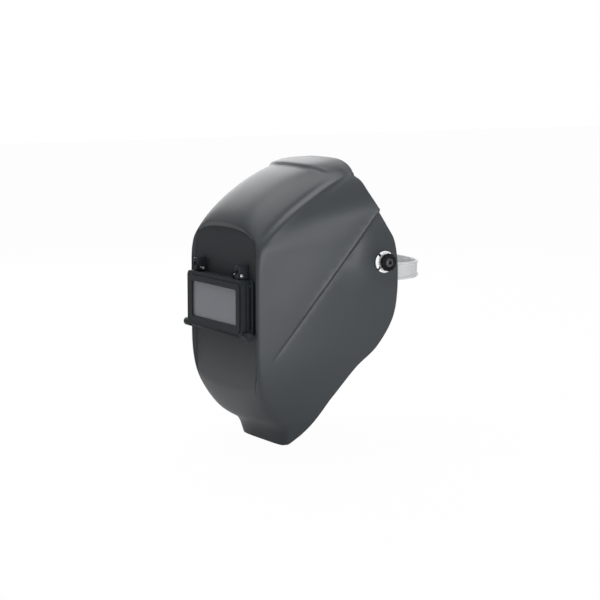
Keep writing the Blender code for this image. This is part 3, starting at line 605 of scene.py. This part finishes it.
def crease_lift(points):
    """Raised upper side panel, fine groove line and flat pivot seat."""
    x, y, z = points.T.copy()
    sign = np.where(x < 0, -1.0, 1.0)
    x = np.abs(x)
    length = np.linalg.norm(CREASE_RUN)
    py, pz = y - CREASE_TOP[0], z - CREASE_TOP[1]
    t = (py * CREASE_RUN[0] + pz * CREASE_RUN[1]) / length ** 2
    s = (py * -CREASE_RUN[1] + pz * CREASE_RUN[0]) / length
    rise = shape().crease_rise / MM * np.clip(1.0 - t, 0.0, 1.0)
    edge = 6.0 - 3.0 * np.clip(t, 0.0, 1.0)
    lift = rise * (1 - smoothstep(s / edge + 0.5)) * (1 - smoothstep(-s / 60.0))
    lift -= CREASE_GROOVE[0] * hump(s, *CREASE_GROOVE[1:]) * stretch(t, 0.1, 0.3, 0.9, 0.15)
    lift += CREASE_RIDGE[0] * hump(s, *CREASE_RIDGE[1:]) * (1 - smoothstep((t - 0.45) / 0.35))
    x = x + lift * smoothstep((x - SIDE_X) / SIDE_BLEND)
    flat = (1 - smoothstep((np.hypot(y, z) - PIVOT_FLAT_R) / PIVOT_BLEND)) * (x > 80)
    x = x * (1 - flat) + PIVOT_X * flat
    return np.stack([sign * x, y, z], 1)


class HELMET_OT_shell(bpy.types.Operator):
    """Model the moulded shell with its panel, crease, crown and openings"""
    bl_idname = "helmet.shell"
    bl_label = "Shell"

    def execute(self, context):
        half = shell_grid()
        full = np.concatenate([half[:, :0:-1] * (-1, 1, 1), half], axis=1)
        ny, nx = full.shape[:2]
        clear_selection()
        bpy.ops.mesh.primitive_grid_add(x_subdivisions=nx - 1, y_subdivisions=ny - 1, size=1)
        obj = added("helmet_shell")
        obj.data.vertices.foreach_set("co", full.reshape(-1))
        obj.data.update()
        self.cut_crease_rows(obj)
        co = np.empty(len(obj.data.vertices) * 3)
        obj.data.vertices.foreach_get("co", co)
        co = crease_lift(co.reshape(-1, 3)) * MM
        obj.data.vertices.foreach_set("co", co.reshape(-1))
        obj.data.update()
        front = [f for f in obj.data.polygons if f.center.y < -0.137]
        if sum(f.normal.y for f in front) > 0:
            obj.data.flip_normals()
        wall = obj.modifiers.new("wall", "SOLIDIFY")
        wall.thickness = shape().wall
        wall.offset = -1.0
        apply_all(obj)
        carve(obj, framed_block("window_tool", SHELL_WINDOW, PANEL_Y - 20, PANEL_Y + 20))
        for _, sx in SIDES:
            carve(obj, add_rod("pivot_tool", PIVOT_HOLE_R, sx * (PIVOT_X - 20), sx * (PIVOT_X + 20), 0, 0))
        soften(obj, 34)
        place(obj, "shell", "shell", shell_plastic("satin_shell"))
        # The flat front panel faces get the plastic with painted shade towards their top.
        obj.data.materials.append(painted_shade_panel_plastic("satin_panel_painted_shade"))
        for face in obj.data.polygons:
            flat = abs(face.center.y - PANEL_Y * MM) < 0.0006 and face.normal.y < -0.9
            face.material_index = int(flat and abs(face.center.x) < shape().panel_half + 0.001)
        return {"FINISHED"}

    @staticmethod
    def cut_crease_rows(obj):
        """Add close rows of edges along the crease."""
        start = Vector((0, *CREASE_TOP))
        normal = Vector((0, -CREASE_RUN[1], CREASE_RUN[0])).normalized()
        for shift in CREASE_CUTS:
            for face in obj.data.polygons:
                mid = face.center
                near = abs((mid - start).dot(normal)) < CREASE_NEAR
                face.select = abs(mid.x) > 68 and mid.y > -136 and near
            bpy.ops.object.mode_set(mode="EDIT")
            bpy.ops.mesh.select_mode(type="FACE")
            bpy.ops.mesh.bisect(plane_co=start + normal * shift, plane_no=normal)
            bpy.ops.object.mode_set(mode="OBJECT")


class HELMET_OT_lens_holder(bpy.types.Operator):
    """Model the lift front, the fixed frame and the hinge brackets"""
    bl_idname = "helmet.lens_holder"
    bl_label = "Lens holder"

    def execute(self, context):
        black = moulded("satin_holder", finish_colours().holder, 0.5, 2200.0, 0.06, 0.14, 0.16)
        self.lift_front(black)
        self.fixed_frame(black)
        for side, sx in SIDES:
            self.hinge_lug(side, sx * HINGE_X, black)
        return {"FINISHED"}

    @staticmethod
    def lift_front(black):
        lift = framed_block("lift_front", LIFT_BLOCK, LIFT_FRONT, LIFT_BACK)
        round_edges(lift, 0.9, 3, 60)
        rabbet = framed_block("rabbet_tool", RABBET_BLOCK, CUT_FRONT, RABBET_Y)
        carve(rabbet, framed_block("bezel_tool", BEZEL_BLOCK, CUT_FRONT - 10, RABBET_Y + 8))
        carve(lift, rabbet)
        carve(lift, framed_block("window_tool", WINDOW_BLOCK, CUT_FRONT, LIFT_CUT_BACK))
        carve(lift, framed_block("pocket_tool", POCKET_BLOCK, POCKET_Y, LIFT_CUT_BACK))
        inner, outer, front, back, tall = SIDE_GROOVE
        for _, sx in SIDES:
            left, right = sorted((sx * inner, sx * outer))
            carve(lift, add_cube("groove_tool", (left, front, WIN_Z - tall), (right, back, WIN_Z + tall)))
        carve(lift, cross_bar("groove_tool", *TOP_GROOVE))
        ledge = cross_bar("ledge_tool", *LOW_LEDGE)
        round_edges(ledge, 0.6, 2)
        carve(lift, ledge, "UNION")
        for _, sx in SIDES:
            mid = sx * HINGE_X
            low, high = mid - KNUCKLE_HALF, mid + KNUCKLE_HALF
            carve(lift, add_rod("knuckle_tool", KNUCKLE_R, low, high, HINGE_Y, HINGE_Z), "UNION")
            stem = add_cube("stem_tool", (mid - STEM_HALF, HINGE_Y - STEM_DEEP, WIN_Z + STEM_RISE),
                            (mid + STEM_HALF, HINGE_Y + STEM_DEEP, HINGE_Z))
            carve(lift, stem, "UNION")
            ear = add_rod("ear_tool", EAR_R, sx * EAR_IN, sx * EAR_OUT, EAR_Y, WIN_Z - EAR_DROP)
            round_edges(ear, 1.6, 4)
            carve(lift, ear, "UNION")
        for _, sx in SIDES:
            mid = sx * HINGE_X
            carve(lift, add_rod("bore_tool", HINGE_BORE_R, mid - 6, mid + 6, HINGE_Y, HINGE_Z, 32))
        soften(lift)
        place(lift, "lift_front", "lift_frame", black)

    @staticmethod
    def fixed_frame(black):
        fixed = framed_block("fixed_lens_frame", FIXED_BLOCK, FIXED_FRONT, FIXED_BACK)
        round_edges(fixed, 1.2, 4, 60)
        carve(fixed, framed_block("window_tool", WINDOW_BLOCK, CUT_FRONT, FIXED_CUT_BACK))
        carve(fixed, framed_block("pocket_tool", POCKET_BLOCK, CUT_FRONT, FIXED_POCKET_Y))
        for _, sx in SIDES:
            for sz in (1, -1):
                spot = (sx * RIVET_X, WIN_Z + sz * RIVET_RISE)
                carve(fixed, add_rod("rivet_tool", RIVET_HEAD_R, CUT_FRONT, RIVET_SEAT_Y, *spot, 32, "Y"))
                carve(fixed, add_rod("rivet_tool", RIVET_R, CUT_FRONT, FIXED_CUT_BACK, *spot, 32, "Y"))
        soften(fixed)
        place(fixed, "shell", "fixed_frame", black)

    @staticmethod
    def hinge_lug(side, mid, black):
        lug = add_cube("hinge_lug_" + side, (mid - LUG_HALF, HINGE_Y, HINGE_Z - LUG_NOSE_R),
                       (mid + LUG_HALF, FIXED_BACK, HINGE_Z + LUG_TOP))
        half = LUG_HALF - LUG_SKIN
        carve(lug, add_rod("nose_tool", LUG_NOSE_R, mid - half, mid + half, HINGE_Y, HINGE_Z), "UNION")
        half -= LUG_SKIN
        cheek = add_cube("cheek_tool", (mid - half, HINGE_Y - CHEEK_FRONT, HINGE_Z),
                         (mid + half, HINGE_Y + CHEEK_BACK, HINGE_Z + CHEEK_TOP))
        round_edges(cheek, 1.4, 3)
        carve(lug, cheek, "UNION")
        carve(lug, add_cube("slot_tool", (mid - SLOT_HALF, -190, -40),
                            (mid + SLOT_HALF, HINGE_Y + SLOT_BACK, HINGE_Z + SLOT_TOP)))
        carve(lug, add_rod("bore_tool", HINGE_BORE_R, mid - 20, mid + 20, HINGE_Y, HINGE_Z, 32))
        soften(lug)
        place(lug, "shell", "hinge_bracket_" + side, black)


def rounded_power(value, power):
    return math.copysign(abs(value) ** power, value)


def knob_rings(sx):
    """Fluted rings from the hub out to the boss."""
    rings = []
    for out, radius, share in KNOB_PROFILE:
        ring = []
        for k in range(KNOB_POINTS):
            a = 2 * math.pi * k / KNOB_POINTS
            r = radius + share * KNOB_LOBE * rounded_power(math.cos(KNOB_LOBES * a), KNOB_ROUND)
            ring.append((sx * out, -r * math.cos(a), r * math.sin(a)))
        rings.append(ring)
    return rings


class HELMET_OT_pivots(bpy.types.Operator):
    """Model the tension knobs and the split bushes"""
    bl_idname = "helmet.pivots"
    bl_label = "Pivots"

    def execute(self, context):
        black = moulded("knob_plastic", finish_colours().knob, 0.35, 2400.0, 0.05, 0.15, 0.2)
        # The boss ring's lighter colour is a painted highlight, not wear.
        boss = moulded("knob_boss_painted_highlight", (0.05, 0.05, 0.052), 0.3, 2400.0, 0.05, 0.15)
        white = moulded("bush_nylon", finish_colours().bush, 0.35, 1200.0, 0.02, 0.05)
        for side, sx in SIDES:
            knob = lofted("knob_" + side, knob_rings(sx))
            soften(knob, 32)
            place(knob, "knob_" + side, "tension_knob_" + side, black)
            knob.data.materials.append(boss)
            for face in knob.data.polygons:
                x, y, z = face.center / MM
                face.material_index = int(abs(x) > BOSS_OUT and BOSS_IN_R < math.hypot(y, z) < BOSS_OUT_R)

            bush = add_rod("split_bush_" + side, BUSH_R, sx * BUSH_IN, sx * BUSH_OUT, 0, 0, 96)
            round_edges(bush, 0.55, 3)
            carve(bush, add_rod("barrel_tool", BARREL_R, sx * BARREL_IN, sx * BARREL_OUT, 0, 0), "UNION")
            outward = Matrix.Translation((sx * BARREL_OUT * MM, 0, 0)) @ Matrix.Scale(sx, 4, (1, 0, 0))
            for k in range(SLIT_COUNT):
                slit = add_cube("slit_tool", (SLIT_FLOOR, SLIT_START, -SLIT_HALF), (6, 20, SLIT_HALF))
                turn = math.radians(SLIT_TURN + 360 / SLIT_COUNT * k)
                slit.data.transform(outward @ Matrix.Rotation(turn, 4, "X"))
                carve(bush, slit)
            carve(bush, add_rod("bore_tool", STUD_BORE_R, sx * 90, sx * 120, 0, 0))
            soften(bush)
            place(bush, "headgear", "pivot_bush_" + side, white)
        return {"FINISHED"}


def band_path(ring, forward):
    """Straight sides joined by half an ellipse, with outward directions."""
    semi_x, semi_y, centre_y, end_y = ring
    sign = -1 if forward else 1
    path = []
    straight = 6
    for i in range(straight):
        path.append(((semi_x, end_y + (centre_y - end_y) * i / straight), (1, 0)))
    for i in range(BAND_STEPS + 1):
        a = math.pi * i / BAND_STEPS
        out = Vector((math.cos(a) / semi_x, sign * math.sin(a) / semi_y)).normalized()
        path.append(((semi_x * math.cos(a), centre_y + sign * semi_y * math.sin(a)), tuple(out)))
    for i in range(1, straight + 1):
        path.append(((-semi_x, centre_y + (end_y - centre_y) * i / straight), (-1, 0)))
    return path


def band_rings(path, half, taper=0.0):
    """Beaded strip sections along a path, lower towards its middle by the taper."""
    rings = []
    for i, ((px, py), (ox, oy)) in enumerate(path):
        tall = half - taper * math.sin(math.pi * i / (len(path) - 1)) ** 2
        rings.append([(px + ox * BAND_T * deep, py + oy * BAND_T * deep, BAND_Z + tall * high)
                      for deep, high in BAND_SECTION])
    return rings


def sweat_rings():
    """Crowned pad sections inside the brow band, drawn in at the ends and the tufts."""
    semi_x, semi_y = BROW_RING[0] - SWEAT_GAP, BROW_RING[1] - SWEAT_GAP
    rings = []
    for i in range(SWEAT_STEPS + 1):
        a = math.radians(SWEAT_SPAN * (i / SWEAT_STEPS - 0.5))
        end = 0.55 + 0.45 * math.sin(min(1.0, min(i, SWEAT_STEPS - i) / 5) * math.pi / 2)
        base = Vector((semi_x * math.sin(a), BROW_RING[2] - semi_y * math.cos(a), BAND_Z))
        inward = Vector((-math.sin(a) / semi_x, math.cos(a) / semi_y, 0)).normalized()
        full = end * (1 - 0.05 * (0.5 + 0.5 * math.cos(i * 2 * math.pi / SWEAT_TUFT)))
        ring = []
        for k in range(SWEAT_POINTS):
            t = 2 * math.pi * k / SWEAT_POINTS
            deep = 0.5 - 0.5 * rounded_power(math.cos(t), 0.7)
            tall = 0.5 * rounded_power(math.sin(t), 0.6)
            p = base + inward * (deep * SWEAT_T * full + 0.05)
            ring.append((p.x, p.y, p.z + tall * SWEAT_H * full))
        rings.append(ring)
    return rings


class HELMET_OT_headgear(bpy.types.Operator):
    """Model the bands and the sweatband"""
    bl_idname = "helmet.headgear"
    bl_label = "Headgear"

    def execute(self, context):
        plastic = moulded("band_plastic_translucent", finish_colours().band, 0.22, 900.0, 0.02, 0.06)
        shader = plastic.node_tree.nodes["Principled BSDF"]
        shader.inputs["Transmission Weight"].default_value = 0.35
        shader.inputs["IOR"].default_value = 1.45
        brow = lofted("brow_strip", band_rings(band_path(BROW_RING, True), BROW_HALF))
        for _, sx in SIDES:
            carve(brow, add_rod("rivet_tool", STRAP_RIVET_R, sx * 60, sx * 92, 0, STRAP_RIVET_Z, 32))
        soften(brow, 50)
        place(brow, "headgear", "brow_band", plastic)
        nape = lofted("nape_strip", band_rings(band_path(NAPE_RING, False), NAPE_HALF, NAPE_TAPER))
        for _, sx in SIDES:
            carve(nape, add_rod("peg_tool", PEG_HOLE_R, sx * 66, sx * 90, PEG_Y, BAND_Z, 32))
        soften(nape, 50)
        place(nape, "nape_band", "nape_band", plastic)
        foam = moulded("sweat_foam_cloth", (0.05, 0.05, 0.055), 0.85, 700.0, 0.5, 0.3)
        pad = lofted("sweat_pad", sweat_rings())
        soften(pad, 60)
        place(pad, "headgear", "sweatband", foam)
        return {"FINISHED"}


class HELMET_OT_small_parts(bpy.types.Operator):
    """Model the pins and finish the plates, rivets, springs, straps and pegs"""
    bl_idname = "helmet.small_parts"
    bl_label = "Small parts"

    def execute(self, context):
        steel = metal("bright_pin_steel", (0.9, 0.9, 0.9), 0.25, 0.8)
        for side, sx in SIDES:
            seat = sx * (PIN_SEAT + 0.1)
            pin = add_rod("domed_pin_" + side, PIN_R, sx * PIN_IN, seat, HINGE_Y, HINGE_Z, 32)
            head = add_rod("head_tool", PIN_HEAD_R, sx * PIN_SEAT, sx * PIN_OUT, HINGE_Y, HINGE_Z)
            round_edges(head, 1.1, 6)
            carve(pin, head, "UNION")
            soften(pin)
            place(pin, "shell", "hinge_pin_" + side, steel)
        dark = moulded("blackened_spring", (0.01, 0.01, 0.011), 0.7, 2600.0, 0.05, 0.2, 0.1)
        rubber = moulded("gasket_black", (0.015, 0.015, 0.015), 0.8, 900.0, 0.2, 0.2)
        looks = {
            ("frame_rivet", "bracket_rivet", "pivot_stud", "strap_rivet"): steel,
            ("torsion_spring", "plate_retainer"): dark,
            ("lens_gasket", "pivot_washer", "pivot_seal"): rubber,
            ("crown_strap", "pivot_arm", "nape_peg"): bpy.data.materials["band_plastic_translucent"],
            ("crown_peg",): bpy.data.materials["knob_plastic"],
            # The cover plate's opaque grey is a painted reflection of the white surroundings.
            ("cover_plate",): moulded("cover_painted_reflection", (0.184, 0.193, 0.218), 0.22, 400.0, 0.004, 0.05, 0.35),
            ("safety_plate",): glass("clear_cover", (0.9, 0.92, 0.93), 1.0, 0.03),
            ("filter_plate",): glass("dark_filter", (0.010, 0.014, 0.013), 0.0, 0.04, 1.0),
        }
        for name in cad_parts:
            for starts, mat in looks.items():
                if name.startswith(starts):
                    dress(bpy.data.objects[name], mat)
        return {"FINISHED"}


def add_lamp(scene, name, place_at, aim, size, power):
    data = bpy.data.lights.new(name, "AREA")
    data.shape = "RECTANGLE"
    data.size, data.size_y = size
    data.energy = power
    obj = bpy.data.objects.new(name, data)
    scene.collection.objects.link(obj)
    obj.location = place_at
    obj.rotation_euler = (Vector(aim) - Vector(place_at)).to_track_quat("-Z", "Y").to_euler()


class HELMET_OT_studio(bpy.types.Operator):
    """Set the pale floor, the soft light and the camera"""
    bl_idname = "helmet.studio"
    bl_label = "Studio"

    def execute(self, context):
        scene = context.scene
        scene.view_settings.view_transform = "Standard"
        self.floor()
        self.world(scene)
        add_lamp(scene, "overhead_softbox", (-0.35, -0.35, 1.6), (0, -0.08, 0.05), (1.2, 1.2), 19)
        add_lamp(scene, "far_softbox", (-1.6, 0.45, 0.8), (0, -0.08, 0.05), (1.0, 1.0), 10)
        add_lamp(scene, "side_softbox", (1.8, -0.3, 0.2), (0, -0.05, 0.0), (0.8, 0.9), 20)
        self.camera(scene)
        return {"FINISHED"}

    @staticmethod
    def floor():
        """White to the eye and in glass, pale grey to the light."""
        clear_selection()
        bpy.ops.mesh.primitive_plane_add(size=12, location=(0, 0, -0.2135))
        floor = added("studio_floor")
        settle(floor)
        mat = bpy.data.materials.new("studio_white")
        mat.use_nodes = True
        tree = mat.node_tree
        shader = tree.nodes["Principled BSDF"]
        shader.inputs["Base Color"].default_value = (0.75, 0.75, 0.75, 1)
        shader.inputs["Roughness"].default_value = 0.9
        glow = tree.nodes.new("ShaderNodeEmission")
        glow.inputs["Strength"].default_value = 1.0
        ray = tree.nodes.new("ShaderNodeLightPath").outputs
        seen = maths(tree, "MULTIPLY_ADD", ray["Is Glossy Ray"], 0.2, ray["Is Camera Ray"])
        seen = maths(tree, "MAXIMUM", seen, ray["Is Transmission Ray"])
        mix = tree.nodes.new("ShaderNodeMixShader")
        tree.links.new(maths(tree, "MULTIPLY", seen, 0.97), mix.inputs[0])
        tree.links.new(shader.outputs[0], mix.inputs[1])
        tree.links.new(glow.outputs[0], mix.inputs[2])
        tree.links.new(mix.outputs[0], tree.nodes["Material Output"].inputs["Surface"])
        floor.data.materials.append(mat)

    @staticmethod
    def world(scene):
        """Soft light from above and from the far side, on a white background."""
        world = bpy.data.worlds.new("studio_world")
        scene.world = world
        world.use_nodes = True
        tree = world.node_tree
        back = tree.nodes["Background"]
        back.inputs["Color"].default_value = (1, 1, 1, 1)
        ray = tree.nodes.new("ShaderNodeLightPath").outputs
        coord = tree.nodes.new("ShaderNodeTexCoord").outputs["Generated"]
        split = tree.nodes.new("ShaderNodeSeparateXYZ")
        tree.links.new(coord, split.inputs[0])
        toward = tree.nodes.new("ShaderNodeVectorMath")
        toward.operation = "DOT_PRODUCT"
        tree.links.new(coord, toward.inputs[0])
        toward.inputs[1].default_value = (-0.84, 0.53, 0.12)
        height = fade(tree, split.outputs["Z"], -0.05, 0.8, 0.02, 0.45)
        sweep = fade(tree, toward.outputs["Value"], 0.3, 0.8, 0.0, 1.0)
        seen = maths(tree, "MAXIMUM", ray["Is Camera Ray"], ray["Is Transmission Ray"])
        pick = tree.nodes.new("ShaderNodeMix")
        tree.links.new(maths(tree, "MULTIPLY_ADD", ray["Is Glossy Ray"], 0.1, seen), pick.inputs["Factor"])
        tree.links.new(maths(tree, "MAXIMUM", height, sweep), pick.inputs["A"])
        pick.inputs["B"].default_value = 1.0
        tree.links.new(pick.outputs["Result"], back.inputs["Strength"])

    @staticmethod
    def camera(scene):
        az, el = math.radians(AZIMUTH), math.radians(ELEVATION)
        back = Vector((math.sin(az) * math.cos(el), -math.cos(az) * math.cos(el), math.sin(el)))
        right = Vector((math.cos(az), math.sin(az), 0))
        up = back.cross(right)
        pixel = MM / PIXELS_PER_MM
        target = right * ((IMAGE / 2 - ORIGIN_AT[0]) * pixel) + up * ((ORIGIN_AT[1] - IMAGE / 2) * pixel)
        data = bpy.data.cameras.new("photo_camera")
        data.lens = LENS
        data.sensor_width = SENSOR
        camera = bpy.data.objects.new("photo_camera", data)
        scene.collection.objects.link(camera)
        turn = Matrix((right, up, back)).transposed().to_4x4()
        camera.matrix_world = Matrix.Translation(target + back * (LENS / SENSOR * IMAGE * pixel)) @ turn
        scene.camera = camera


class HELMET_PT_panel(bpy.types.Panel):
    """Lists the helmet's pieces and sizes"""
    bl_idname = "HELMET_PT_panel"
    bl_label = "Welding helmet"
    bl_space_type = "VIEW_3D"
    bl_region_type = "UI"
    bl_category = "Helmet"

    def draw(self, context):
        layout = self.layout
        for group in (context.scene.helmet_shape, context.scene.helmet_finish):
            for key in group.__annotations__:
                layout.prop(group, key)
        for operator in OPERATORS:
            layout.operator(operator.bl_idname)


OPERATORS = (HELMET_OT_shell, HELMET_OT_lens_holder, HELMET_OT_pivots, HELMET_OT_headgear,
             HELMET_OT_small_parts, HELMET_OT_studio)
CLASSES = (HelmetShape, HelmetFinish, *OPERATORS, HELMET_PT_panel)


def register():
    for cls in CLASSES:
        bpy.utils.register_class(cls)
    bpy.types.Scene.helmet_shape = PointerProperty(type=HelmetShape)
    bpy.types.Scene.helmet_finish = PointerProperty(type=HelmetFinish)


def unregister():
    del bpy.types.Scene.helmet_shape
    del bpy.types.Scene.helmet_finish
    for cls in reversed(CLASSES):
        bpy.utils.unregister_class(cls)


def main():
    register()
    bpy.ops.helmet.shell()
    bpy.ops.helmet.lens_holder()
    bpy.ops.helmet.pivots()
    bpy.ops.helmet.headgear()
    bpy.ops.helmet.small_parts()
    bpy.ops.helmet.studio()


if __name__ == "__main__":
    main()
